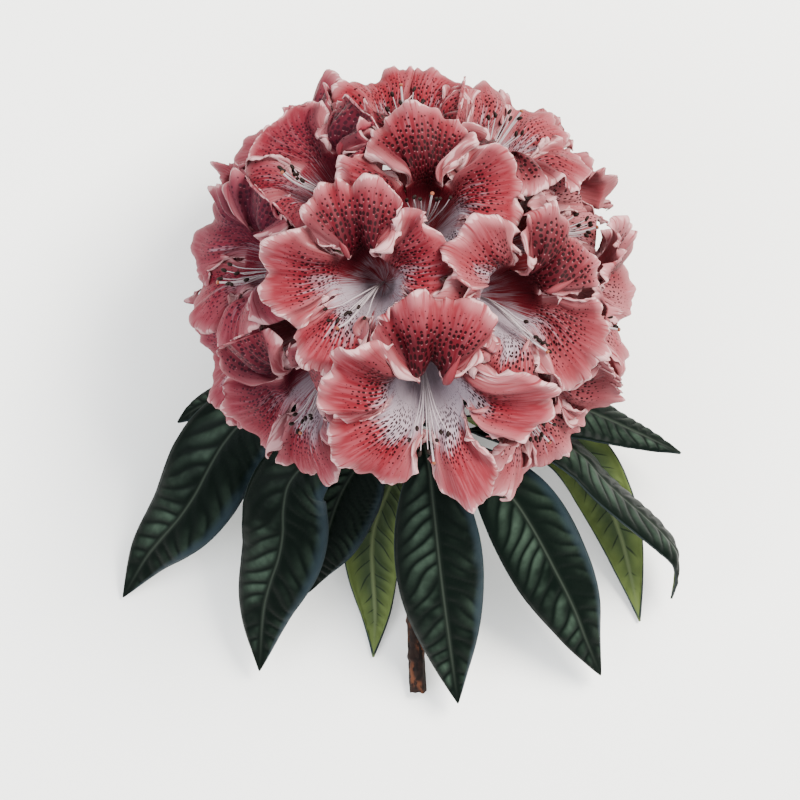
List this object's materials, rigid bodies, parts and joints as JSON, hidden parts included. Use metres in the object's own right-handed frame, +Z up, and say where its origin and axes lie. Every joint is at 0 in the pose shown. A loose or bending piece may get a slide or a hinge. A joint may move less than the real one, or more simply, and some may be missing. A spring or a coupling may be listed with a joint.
{
  "type": "rhododendron flowering branch",
  "caption": "Cut flowering shoot of a rhododendron lying on its back: a round truss of open funnel blooms over a whorl of long drooping leaves on a woody stem.",
  "frame": {"origin": "middle of the bounding box, on the surface that the shoot lies on", "axes": "+Z up from the surface, +Y along the shoot from its cut end towards the tip of the truss, +X to the right in a view from above"},
  "size_m": [0.2602, 0.2934, 0.2039],
  "materials": {
    "bark": "rough dark brown bark with orange-brown patches",
    "green_axis": "soft green stalk tissue flushed with red",
    "petal": "matt salmon-rose petals with pale rims and dark red spots",
    "leaf": "leathery dark green above with a bluish gloss, pale green below"
  },
  "bodies": {
    "root": {"bloom_01": "petal", "bloom_02": "petal", "bloom_03": "petal", "bloom_04": "petal", "bloom_05": "petal", "bloom_06": "petal", "bloom_07": "petal", "bloom_08": "petal", "bloom_09": "petal", "bloom_10": "petal", "bloom_11": "petal", "bloom_12": "petal", "bloom_13": "petal", "bloom_14": "petal", "bloom_15": "petal", "bloom_16": "petal", "bloom_17": "petal", "bloom_18": "petal", "bloom_19": "petal", "bloom_20": "petal", "leaf_01": "leaf", "leaf_02": "leaf", "leaf_03": "leaf", "leaf_04": "leaf", "leaf_05": "leaf", "leaf_06": "leaf", "leaf_07": "leaf", "leaf_08": "leaf", "leaf_09": "leaf", "leaf_10": "leaf", "stalk_01": "green_axis", "stalk_02": "green_axis", "stalk_03": "green_axis", "stalk_04": "green_axis", "stalk_05": "green_axis", "stalk_06": "green_axis", "stalk_07": "green_axis", "stalk_08": "green_axis", "stalk_09": "green_axis", "stalk_10": "green_axis", "stalk_11": "green_axis", "stalk_12": "green_axis", "stalk_13": "green_axis", "stalk_14": "green_axis", "stalk_15": "green_axis", "stalk_16": "green_axis", "stalk_17": "green_axis", "stalk_18": "green_axis", "stalk_19": "green_axis", "stalk_20": "green_axis", "stem": "bark", "truss_axis": "green_axis"}
  },
  "joints": []
}
